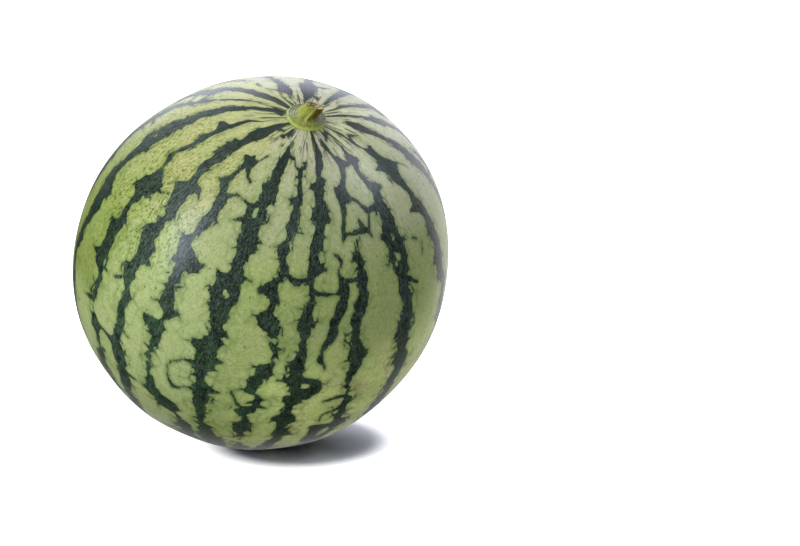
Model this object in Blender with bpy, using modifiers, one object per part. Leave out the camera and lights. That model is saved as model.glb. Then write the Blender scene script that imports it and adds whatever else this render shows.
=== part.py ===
"""A small round watermelon, whole and as picked, with the cut stub of its stalk.

Metres, +Z up. The melon rests on z = 0 with its centre above the origin, and its stem end leans
towards -Y, the side that is seen first, and a little towards +X.
"""

import math

import bmesh
import bpy
from mathutils import Matrix, Vector

MM = 0.001

# Size and form of the fruit
FRUIT_RADIUS = 100 * MM
LOBES = 10
LOBE_RELIEF = 0.35 * MM

# How far the fruit is out of round, as its outline shows from the front and a little above:
# (waves round the outline, share of the radius, bearing of the first crest from the right)
OUT_OF_ROUND = (
    (1, 0.0065, math.radians(243)),
    (2, 0.0207, math.radians(40)),
    (3, 0.0059, math.radians(49)),
)
FRONT_HEIGHT = math.radians(12)

# How the fruit lies: its stem end leans away from upright, towards a compass angle from +X
LEAN = math.radians(32.2)
LEAN_TOWARDS = math.radians(-64.5)
RESTING_SPOT_DEPTH = 1.3 * MM

# The stem end: a shallow dimple, pleated round the stalk
DIMPLE_RADIUS = 27 * MM
DIMPLE_DEPTH = 1.7 * MM
PLEATS = 24
PLEAT_RELIEF = 0.12 * MM
PLEAT_FADE = 34 * MM

# The blossom end: a small sunken scar
SCAR_RADIUS = 11 * MM
SCAR_DEPTH = 0.9 * MM

# The stalk: a collar on the skin, a ribbed stub and a sunken cut. The stub's foot stands off the axis,
# against the side that the stub leans to
COLLAR_RADIUS = 10.4 * MM
COLLAR_LIP = 1.3 * MM
STUB_RADIUS = 5.1 * MM
STUB_HEIGHT = 9.4 * MM
FLARE_HEIGHT = 4.4 * MM
CUT_SINK = 1.2 * MM
RIBS = 9
RIB_RELIEF = 0.32 * MM
STUB_LEAN = math.radians(28)
STUB_LEAN_TURN = math.radians(92)
STUB_FOOT = 1.4 * MM
CUT_SLANT = math.radians(15)
SEAT_GAP = 0.3 * MM

# Mesh density
MERIDIANS = 96
PARALLELS = 46
GATHER = 0.45
STALK_SIDES = 45
PROFILE_STEPS = 3


def smooth_step(low, high, value):
    """0 below low, 1 above high, and an even S between them."""
    share = min(1.0, max(0.0, (value - low) / (high - low)))
    return share * share * (3 - 2 * share)


def leaning():
    """The turn that takes the upright fruit, stem up, to the way it lies."""
    hinge = Vector((-math.sin(LEAN_TOWARDS), math.cos(LEAN_TOWARDS), 0))
    return Matrix.Rotation(LEAN, 3, hinge)


def direction_of(angle, turn):
    """Unit vector at an angle from the stem, on the meridian that lies turn from -Y towards +X."""
    return Vector((math.sin(angle) * math.sin(turn), -math.sin(angle) * math.cos(turn), math.cos(angle)))


def stem_end_relief(off_axis, turn):
    """Depth of the dimple at a distance from the stem axis, and of the pleats that run into it."""
    share = min(1.0, off_axis / DIMPLE_RADIUS)
    dimple = DIMPLE_DEPTH * 0.5 * (1 + math.cos(math.pi * share))
    strength = smooth_step(COLLAR_RADIUS, 1.5 * COLLAR_RADIUS, off_axis)
    strength *= 1 - smooth_step(1.5 * COLLAR_RADIUS, PLEAT_FADE, off_axis)
    pleat = PLEAT_RELIEF * strength * (1 - math.cos(PLEATS * turn))
    return dimple + pleat


def blossom_end_relief(off_axis):
    """Depth of the blossom scar at a distance from the same axis."""
    return SCAR_DEPTH * (1 - smooth_step(0.3 * SCAR_RADIUS, SCAR_RADIUS, off_axis))


def out_of_round(lying):
    """Share by which the fruit is larger than round in a direction, as it lies."""
    up_the_front = Vector((0, math.sin(FRONT_HEIGHT), math.cos(FRONT_HEIGHT)))
    across, upward = lying.x, lying.dot(up_the_front)
    reach, bearing = math.hypot(across, upward), math.atan2(upward, across)
    total = 0
    for waves, share, crest in OUT_OF_ROUND:
        total += share * reach ** waves * math.cos(waves * (bearing - crest))
    return total


def skin_radius(angle, turn):
    """Distance from the fruit's centre to its skin, on the upright fruit."""
    radius = FRUIT_RADIUS * (1 + out_of_round(leaning() @ direction_of(angle, turn)))
    radius += LOBE_RELIEF * math.cos(LOBES * turn) * math.sin(angle) ** 2
    off_axis = radius * math.sin(angle)
    if angle < math.pi / 2:
        return radius - stem_end_relief(off_axis, turn)
    return radius - blossom_end_relief(off_axis)


def resting_place():
    """Where the fruit's centre lies: its box stands over the origin, its resting spot on the floor."""
    skin = [leaning() @ point for point in skin_points()]
    middle_x, middle_y = (
        -(min(point[axis] for point in skin) + max(point[axis] for point in skin)) / 2 for axis in (0, 1)
    )
    return Vector((middle_x, middle_y, -min(point.z for point in skin) - RESTING_SPOT_DEPTH))


def skin_points():
    """Points all over the upright fruit, close enough together to measure it by."""
    for ring in range(0, 181, 2):
        for step in range(0, 360, 3):
            angle, turn = math.radians(ring), math.radians(step)
            yield direction_of(angle, turn) * skin_radius(angle, turn)


def material(name, colour, roughness):
    """A plain surface colour for the solid."""
    made = bpy.data.materials.new(name)
    made.use_nodes = True
    shader = made.node_tree.nodes["Principled BSDF"]
    shader.inputs["Base Color"].default_value = (*colour, 1)
    shader.inputs["Roughness"].default_value = roughness
    shader.inputs["Metallic"].default_value = 0
    made.diffuse_color = (*colour, 1)
    return made


def place(name, mesh, surface, collection, parent):
    """Links a finished mesh as a named object, smooth, on the empty that leans."""
    mesh.name = name
    mesh.materials.clear()
    mesh.materials.append(surface)
    mesh.shade_smooth()
    mesh.set_sharp_from_angle(angle=math.radians(50))
    made = bpy.data.objects.new(name, mesh)
    collection.objects.link(made)
    made.parent = parent
    return made


def build_fruit(parent_matrix):
    """The fruit, from a sphere whose poles are the stem end and the blossom end."""
    shape = bmesh.new()
    bmesh.ops.create_uvsphere(shape, u_segments=MERIDIANS, v_segments=PARALLELS, radius=1)
    for vertex in shape.verts:
        even = math.acos(max(-1.0, min(1.0, vertex.co.z)))
        angle = even - GATHER * math.sin(2 * even) / 2
        turn = math.atan2(vertex.co.x, -vertex.co.y)
        vertex.co = direction_of(angle, turn) * skin_radius(angle, turn)
    flatten_resting_spot(shape, parent_matrix)
    bmesh.ops.recalc_face_normals(shape, faces=shape.faces)
    mesh = bpy.data.meshes.new("fruit")
    shape.to_mesh(mesh)
    shape.free()
    return mesh


def flatten_resting_spot(shape, parent_matrix):
    """Cuts the fruit level with the floor and closes the cut with one flat face."""
    to_fruit = parent_matrix.inverted()
    floor_point = to_fruit @ Vector((0, 0, 0))
    upwards = to_fruit.to_3x3() @ Vector((0, 0, 1))
    everything = [*shape.verts, *shape.edges, *shape.faces]
    bmesh.ops.bisect_plane(
        shape, geom=everything, dist=0.01 * MM, plane_co=floor_point, plane_no=upwards, clear_inner=True
    )
    rim = [edge for edge in shape.edges if edge.is_boundary]
    bmesh.ops.contextual_create(shape, geom=rim)
    for edge in rim:
        edge.smooth = False


def stalk_profile():
    """(radius, height) points down the stalk's side: cut, stub, flare, collar and underside."""
    corners = [
        (0, STUB_HEIGHT - CUT_SINK),
        (0.45 * STUB_RADIUS, STUB_HEIGHT - 0.9 * CUT_SINK),
        (0.78 * STUB_RADIUS, STUB_HEIGHT - 0.3 * CUT_SINK),
        (0.97 * STUB_RADIUS, STUB_HEIGHT),
        (1.05 * STUB_RADIUS, STUB_HEIGHT - CUT_SINK),
        (STUB_RADIUS, 0.5 * (STUB_HEIGHT + FLARE_HEIGHT)),
        (1.1 * STUB_RADIUS, FLARE_HEIGHT),
        (1.32 * STUB_RADIUS, 0.72 * FLARE_HEIGHT),
        (0.8 * COLLAR_RADIUS, 0.5 * FLARE_HEIGHT),
        (0.95 * COLLAR_RADIUS, COLLAR_LIP),
        (COLLAR_RADIUS, 0.55 * COLLAR_LIP),
        (0.95 * COLLAR_RADIUS, 0),
    ]
    side = [Vector((corner[0], 0, corner[1])) for corner in corners]
    points = [side[0]]
    for index in range(len(side) - 1):
        before = side[max(0, index - 1)]
        after = side[min(len(side) - 1, index + 2)]
        for step in range(1, PROFILE_STEPS + 1):
            points.append(between(before, side[index], side[index + 1], after, step / PROFILE_STEPS))
    underside = [Vector((COLLAR_RADIUS * share, 0, 0)) for share in (0.7, 0.35, 0)]
    return points + underside


def between(before, start, end, after, share):
    """A point on the smooth curve from start to end, as Catmull and Rom drew it."""
    leaving = (end - before) / 2
    arriving = (after - start) / 2
    squared, cubed = share * share, share * share * share
    point = start * (2 * cubed - 3 * squared + 1) + end * (3 * squared - 2 * cubed)
    return point + leaving * (cubed - 2 * squared + share) + arriving * (cubed - squared)


def turned(profile, sides):
    """A mesh turned round Z from a profile, by a Screw modifier."""
    outline = bpy.data.meshes.new("profile")
    outline.from_pydata(profile, [(index, index + 1) for index in range(len(profile) - 1)], [])
    guide = bpy.data.objects.new("profile", outline)
    bpy.context.scene.collection.objects.link(guide)
    screw = guide.modifiers.new("turn", "SCREW")
    screw.steps = sides
    screw.render_steps = sides
    screw.use_merge_vertices = True
    screw.merge_threshold = 0.01 * MM
    finished = guide.evaluated_get(bpy.context.evaluated_depsgraph_get())
    mesh = bpy.data.meshes.new_from_object(finished)
    bpy.data.objects.remove(guide)
    return mesh


def build_stalk():
    """The stalk, turned upright on the axis, then ribbed, leant over and set on the skin."""
    mesh = turned(stalk_profile(), STALK_SIDES)
    lean_way = Vector((math.sin(STUB_LEAN_TURN), -math.cos(STUB_LEAN_TURN), 0))
    for vertex in mesh.vertices:
        point = vertex.co.copy()
        height = point.z
        off_axis = math.hypot(point.x, point.y)
        turn = math.atan2(point.x, -point.y)
        raised = smooth_step(COLLAR_LIP, FLARE_HEIGHT, height)
        widest = min(1.0, off_axis / STUB_RADIUS)
        rib = RIB_RELIEF * math.cos(RIBS * turn) * raised * widest
        if off_axis > 0:
            point.x *= 1 + rib / off_axis
            point.y *= 1 + rib / off_axis
        slant = smooth_step(0.7 * FLARE_HEIGHT, STUB_HEIGHT, height)
        point.z -= math.tan(CUT_SLANT) * point.dot(lean_way) * slant
        over = math.tan(STUB_LEAN) * max(0.0, height - COLLAR_LIP) - STUB_FOOT
        point += lean_way * over * raised
        vertex.co = point + Vector((0, 0, seat_height(off_axis, turn, height)))
    return mesh


def seat_height(off_axis, turn, height):
    """How far up the axis the skin lies under a point of the stalk, with the gap above it."""
    angle = math.asin(off_axis / FRUIT_RADIUS)
    under_point = skin_radius(angle, turn) * math.cos(angle)
    on_axis = skin_radius(0, 0)
    follow = 1 - smooth_step(0, COLLAR_LIP, height)
    return SEAT_GAP + on_axis + (under_point - on_axis) * follow


def clear_scene():
    for old in list(bpy.data.objects):
        bpy.data.objects.remove(old)


def main():
    clear_scene()
    collection = bpy.data.collections.new("watermelon")
    bpy.context.scene.collection.children.link(collection)

    lie = bpy.data.objects.new("way_it_lies", None)
    collection.objects.link(lie)
    lie.matrix_world = Matrix.Translation(resting_place()) @ leaning().to_4x4()
    bpy.context.view_layer.update()

    rind_green = material("rind_green", (0.28, 0.36, 0.12), 0.4)
    stalk_green = material("stalk_green", (0.33, 0.34, 0.09), 0.6)
    place("fruit", build_fruit(lie.matrix_world), rind_green, collection, lie)
    place("stalk", build_stalk(), stalk_green, collection, lie)


main()
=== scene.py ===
"""The looks of a small round watermelon: its striped waxy rind, and the cut stub of its stalk.

Metres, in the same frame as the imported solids. The markings are placed by longitude and by angle from
the stem, both in degrees. Longitude 0 is the side that the stem end leans to, and it grows to the right
as that side is seen from the front.
"""

import math
import random
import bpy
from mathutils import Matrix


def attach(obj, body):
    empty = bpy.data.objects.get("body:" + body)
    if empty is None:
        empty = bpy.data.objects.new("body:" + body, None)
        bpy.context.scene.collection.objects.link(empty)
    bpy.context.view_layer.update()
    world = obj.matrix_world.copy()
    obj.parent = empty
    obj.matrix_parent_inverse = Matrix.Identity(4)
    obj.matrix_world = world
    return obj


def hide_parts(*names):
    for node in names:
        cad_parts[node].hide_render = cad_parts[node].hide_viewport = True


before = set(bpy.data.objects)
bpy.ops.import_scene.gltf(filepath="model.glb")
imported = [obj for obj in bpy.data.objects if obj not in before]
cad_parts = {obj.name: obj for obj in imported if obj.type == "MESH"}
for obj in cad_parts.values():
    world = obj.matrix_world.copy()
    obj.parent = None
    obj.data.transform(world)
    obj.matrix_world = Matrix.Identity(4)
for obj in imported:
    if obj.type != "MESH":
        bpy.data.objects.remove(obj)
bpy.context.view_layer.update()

import types

import bpy
import numpy as np
from mathutils import Matrix, Vector, noise

MM = 0.001

# How the fruit lies, as its solid does
FRUIT_CENTRE = Vector((0.8, 0.1, 99.2)) * MM
FRUIT_RADIUS = 100 * MM
LEAN = math.radians(32.2)
LEAN_TOWARDS = math.radians(-64.5)

# The rind's mesh, how far it keeps inside the solid, and how far a stripe's or a vein's edge is told
START_RADIUS = 1.01 * FRUIT_RADIUS
MERIDIANS = 400
PARALLELS = 240
WRAP_INSET = 0.12 * MM
FIELD_REACH = 5.0
FINE_STEP = 0.1

# The dark stripes' two edges down the fruit: (angle from the stem, left longitude, right longitude).
# The last nine are on the side that the camera doesn't see.
STRIPES = [
    [(5.2, -103, -97), (9, -104, -92), (15, -100, -94), (20, -100, -94), (25, -100, -92), (30, -98, -92),
     (34, -97, -89), (38, -96, -88), (41, -97, -86.5), (45, -95, -86), (47, -94.5, -85), (50, -97, -82.5),
     (53, -91, -85), (58, -89, -84), (60, -88.5, -84), (64, -91, -77), (68, -86, -77.5), (70, -85.5, -76),
     (75, -82, -76), (80, -80, -76.5), (85, -80.5, -76), (90, -79.5, -75.5), (95, -77, -72.5),
     (100, -75.5, -70), (106, -73, -67.5), (112, -72.5, -66), (120, -70, -65)],
    [(11, -70, -69.2), (13, -70.4, -69.2), (15, -74, -71), (17, -77, -73.5), (20, -78.5, -73),
     (22, -77, -72), (24, -82, -72), (25.5, -84, -71.5), (27, -76.5, -71.5), (29, -75, -71),
     (32, -75.5, -70), (35, -73, -69.5), (38, -73, -70), (40, -73.5, -71), (42, -74.5, -69),
     (44, -70.5, -68.5), (46, -69, -66), (48, -69, -60), (51, -71, -60), (54, -71, -62), (55, -71.5, -63),
     (57, -66.5, -63), (60, -66, -63.5), (63, -65, -61), (66, -66, -61), (68, -67, -60.5),
     (70, -65.5, -60.5), (72, -64.5, -59.5), (75, -64, -59), (77, -67.5, -58.5), (79, -63, -58),
     (81, -60, -57.5), (83, -59, -56.5), (87, -58.5, -56), (90, -58.5, -57), (92, -58, -57),
     (94, -57.5, -56), (95.5, -57, -51.5), (98, -56, -51.5), (100, -56, -51.5), (102, -54, -51.5),
     (105, -53, -50), (108, -54, -49), (112, -54, -49), (115, -53, -47), (118, -50, -45), (121, -49, -44)],
    [(5.2, -56, -51), (8, -58, -48), (10, -60, -48), (13, -59, -46.5), (15, -61, -45), (17, -62, -46.5),
     (19, -60, -49), (21, -57.5, -50), (23.5, -61, -51), (26, -59.5, -51), (29, -60, -50), (31, -57.5, -50),
     (34, -57, -51.5), (37, -56.5, -51), (39, -54, -50), (41, -54, -45), (43, -58, -47), (44, -57, -48),
     (46, -55, -47), (48, -54, -47.5), (50, -52, -46.5), (52, -51.5, -45.5), (54, -50, -47), (56, -51, -47),
     (58, -53, -46.5), (60, -53, -46), (62, -52.5, -44), (64, -50.5, -44.5), (66, -50, -43), (69, -50, -46),
     (72, -51, -45), (75, -50, -45.5), (78, -47.5, -43.5), (80, -48, -44), (82, -47, -44), (85, -47.5, -43),
     (88, -46, -42), (91, -45.5, -42.5), (95, -46, -42), (96, -51, -41), (98, -46, -40), (100, -46, -39),
     (102, -44, -39), (104, -43, -38), (108, -42, -37), (114.5, -42, -37), (120, -40, -34)],
    [(22.8, -38, -37), (23.5, -43.5, -33), (25, -43, -32), (26.5, -40, -33), (28, -39, -36.5),
     (30, -39.5, -37), (32, -40, -37), (33, -41.5, -37), (34.3, -44, -37), (36, -40, -35.5),
     (37.5, -38, -32.5), (39, -38, -31.5), (41, -36.5, -31.5), (45, -36, -31), (49, -36, -33),
     (50, -36, -34), (52, -38, -34.5), (54, -39, -34), (56, -39, -31), (57.5, -38, -27), (59, -37, -27),
     (60.5, -36, -27), (62, -36, -31.5), (66, -35, -31.5), (69, -34.5, -31), (71, -34.5, -30),
     (73, -34.5, -28.5), (74.5, -33, -28), (76, -32, -30), (78, -32.5, -30.5), (79, -37.5, -30),
     (81, -36, -30), (83, -34, -30), (86, -33, -30.5), (89, -33, -31.5), (91, -33, -31), (93, -32.5, -31),
     (95, -32.5, -30.5), (97, -32, -29.5), (99, -31, -29), (101, -31.5, -28.5), (103, -32, -27),
     (105, -32, -22), (107, -28.5, -20), (108, -28, -18.5), (110, -26, -20), (111, -21.5, -19.5),
     (112, -20.7, -19.4), (114, -20, -17), (116, -20, -15), (120, -20, -13)],
    [(13.5, -17, -16.2), (14.5, -17.5, -15.5), (16, -18, -15), (17, -19, -12), (18.5, -19.5, -12),
     (20, -21, -12), (22, -20, -12.5), (24, -20.5, -12.5), (26, -19, -12), (28, -21, -12),
     (30, -20.5, -11.5), (32, -19.5, -10.5), (33.5, -19.5, -11.5), (35, -20, -14), (36, -24, -13.5),
     (37.5, -22.5, -12.5), (39, -22, -12), (41, -22, -14), (43, -21, -13.5), (45, -21, -11),
     (47, -20, -11.5), (49, -19, -12.5), (51, -18.5, -13), (53, -18.5, -14), (55, -18, -13),
     (57, -22, -12.5), (58.5, -21, -13), (60, -21, -12.5), (62, -22.5, -12.5), (64, -21.5, -12.5),
     (66, -20.5, -13), (68, -19, -13.5), (70, -18.5, -13.5), (72, -18, -12.5), (74, -16.5, -12.5),
     (76, -17, -13.5), (78, -21, -13.5), (80, -20.5, -14), (82, -19, -11), (84, -19, -12.5),
     (85.5, -22, -12), (87, -19, -14), (89, -17, -14.5), (91, -17, -14), (93, -17, -10), (95, -17, -11.5),
     (97, -17, -11.5), (99, -16.5, -11.5), (101, -16, -12), (103, -15.5, -12), (105, -15, -12),
     (108, -14, -11.5), (111, -13.5, -10), (114, -13, -8.5), (117, -13, -6), (120, -12, -5)],
    [(19, 1.5, 3), (19.7, 0.5, 4), (21, -3, 1.5), (24, -2, 1.5), (26, -1.5, 2), (28.5, -1, 3),
     (30.5, -4.5, 3), (32, -2.5, 2.5), (34, -2, 2), (36, -2.5, 2.5), (38, -3, 2.5), (40, -2.5, 2),
     (42, -2, 1), (44, -3.5, 0.5), (46, -4.5, 0.5), (48, -3, 0.5), (50, -1, 1), (52, -0.7, 2.5),
     (54, -3.5, -0.8), (57, -7, -0.5), (59, -4.5, 0.5), (61, -2.5, 0), (63, -4, 0), (65, -4.8, 2),
     (67.5, -5, 2.5), (69.5, -0.5, 2.5), (71, -0.3, 1.8), (73, 0.5, 4), (75, 2.3, 4), (77, 2.5, 3.8),
     (79, 0, 3.5), (80, -1.5, 3), (82, -0.5, 4.5), (84, -3, 1.5), (87, -3, 1), (89.5, -4.5, 1), (91, 0, 1.5),
     (93, 0.5, 2.5), (95, 0.3, 3.5), (96.5, -3.5, 2.5), (98, -4, 1.5), (99.5, -3, 1), (102, -1.2, 1),
     (104.5, -3.5, 1.5), (106, -2.5, 3.5), (108, -2.5, 3), (110, -2, 1.5), (112, -1, 1.5), (115, 0, 1.5),
     (118, 1, 2), (121, 0.5, 2.6)],
    [(5.2, 12, 18), (8, 11, 19), (11, 13, 19), (14, 13, 20), (16, 11.5, 20), (18, 12, 19.5), (20, 11, 17.5),
     (22, 11, 16), (23.5, 11.5, 19), (25, 8, 17), (26, 7, 16), (28, 9.5, 16), (30, 10, 15.5), (32, 8.5, 16),
     (34, 9, 17), (35, 9.5, 19), (37, 10.5, 16), (39, 10, 15), (41, 9, 15), (43, 9, 13.5), (45, 8.5, 13),
     (47, 8, 13), (49, 8, 15), (50, 8.5, 14.5), (52, 9, 12), (54, 9.5, 12), (55.5, 10, 13.5), (57, 10, 13),
     (60, 9.5, 12), (63, 9, 13), (65, 8, 13), (67, 7.5, 12.5), (69, 8.5, 12), (71, 9.5, 11.5), (73, 9.5, 12),
     (75, 8.5, 12), (77, 8, 12.5), (79, 7.5, 12.5), (81, 8.5, 12.5), (83.5, 6, 19.5), (85, 9, 19),
     (87, 10, 18.5), (89, 10, 19), (90, 8.5, 16), (92, 9, 14.5), (94, 9.5, 13), (97, 10, 13.5),
     (100, 7.5, 14.5), (102, 9, 15.5), (105, 10, 13), (108, 10, 16), (110, 10.5, 17), (112, 11, 14.5),
     (115, 10, 14), (118, 9, 13), (121, 9, 14)],
    [(41.5, 29.5, 30), (43, 29, 30.5), (45, 28, 30.5), (47, 26, 31), (48, 28, 32), (54, 28, 32),
     (57, 28.5, 33), (60, 27, 31), (64, 25, 30), (68, 25.5, 29), (72, 26, 30), (76, 27, 33), (80, 26, 31),
     (84, 26.5, 29.5), (88, 26.5, 29), (92, 28.5, 31), (96, 27, 31), (100, 28, 31), (104, 28.5, 34),
     (110, 29, 33), (116, 27, 32), (121, 25, 31)],
    [(14, 49, 50), (15, 48, 51), (17, 46, 52), (18.5, 45, 53), (20, 45, 55.5), (22, 45.5, 50),
     (24, 45.5, 49.5), (26, 46, 50), (28, 47, 54), (29.5, 47, 58), (31, 47.5, 53.5), (33, 46, 53),
     (34, 40, 53), (36, 45.5, 53), (38, 46, 53.5), (40, 46, 54), (42, 44.5, 53), (44, 43.5, 53.5),
     (46, 44, 54), (48, 44, 54), (50, 43.8, 53.5), (52, 44, 53), (54, 44.5, 53), (56, 45.5, 51.5),
     (58, 46, 50), (61, 46, 52), (66, 47, 52), (70, 44.5, 51.5), (74, 44, 52), (79, 45.5, 50),
     (84, 44, 52.5), (88, 46, 52), (92, 44.5, 51), (97, 45.5, 50), (102, 42.5, 50), (107, 43, 50),
     (112, 43.5, 48.5), (121, 42, 48)],
    [(5.4, 66, 67.5), (11, 66.5, 68), (12.5, 66, 69), (15, 66, 71), (17, 67, 70), (19, 69, 71.5),
     (20.5, 69, 79), (23, 70, 77), (25.5, 62, 78), (27, 66, 80), (29, 67.5, 84), (31, 67, 79), (33, 69, 76),
     (35, 70.5, 75.5), (37, 71, 75), (39, 71.5, 76), (41, 65, 76), (43, 68, 77), (46, 72, 77.5),
     (49, 71, 77), (51, 69, 77.5), (54, 71, 77), (58, 70, 77), (60, 67, 76), (63, 69, 75), (65, 67, 75),
     (68, 70, 76), (70, 72, 77), (74, 70.5, 77), (80, 69, 75), (86, 70, 76.5), (91, 68, 72.5),
     (96, 67.5, 74), (101, 68.5, 74), (106, 66.5, 71.5), (112, 66, 72), (121, 64.5, 70)],
    [(12, 95, 104), (14, 90.5, 105), (17, 91.5, 104), (20, 94, 101), (24, 96, 101), (28, 97, 102),
     (32, 96, 103), (37, 94.5, 102.5), (44, 96, 103), (51, 96, 101), (58, 95.5, 103.5), (66, 95, 101),
     (74, 95, 99.5), (82, 94.5, 101.5), (91, 93.5, 98.5), (100, 93.5, 100), (110, 92.5, 97.5),
     (121, 91.5, 97)],
    [(5.2, 113, 116), (10, 113.5, 118), (15, 114, 118), (20, 114.5, 118.5), (25, 114, 122), (30, 116, 123)],
    [(11, 131, 134), (14, 132, 137.5), (18, 131.5, 136), (22, 131, 136.5), (26, 131, 137.5), (30, 133, 138)],
    [(9.5, 148, 152), (14, 147.5, 154), (18, 147.5, 155), (23, 148, 156), (28, 149, 156.5)],
    [(5, 183, 186), (9, 181, 186.5), (11.5, 172, 186), (14, 171, 187), (18, 170.5, 188), (21, 171, 186),
     (23.5, 174, 181.5), (28, 174.5, 180.5)],
    [(11.5, 202, 206), (13.5, 198.5, 211), (16, 198, 215), (18.5, 198, 208), (21.5, 199, 206),
     (25, 199, 205), (30, 199.5, 203)],
    [(5, 230, 244), (8, 229, 242), (12, 229.5, 240), (18, 229.5, 240), (22, 230, 237), (27, 230, 236),
     (32, 231, 240.5)],
    [(14, 249, 250.5), (18, 248, 251), (24, 248, 251.5), (28, 248.5, 251), (33, 247.5, 252)],
    [(60, 256, 257), (66, 256, 261.5), (75, 258, 265), (84, 259.5, 266.5), (93, 261, 269), (105, 265, 274),
     (121, 269, 276)],
]

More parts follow.
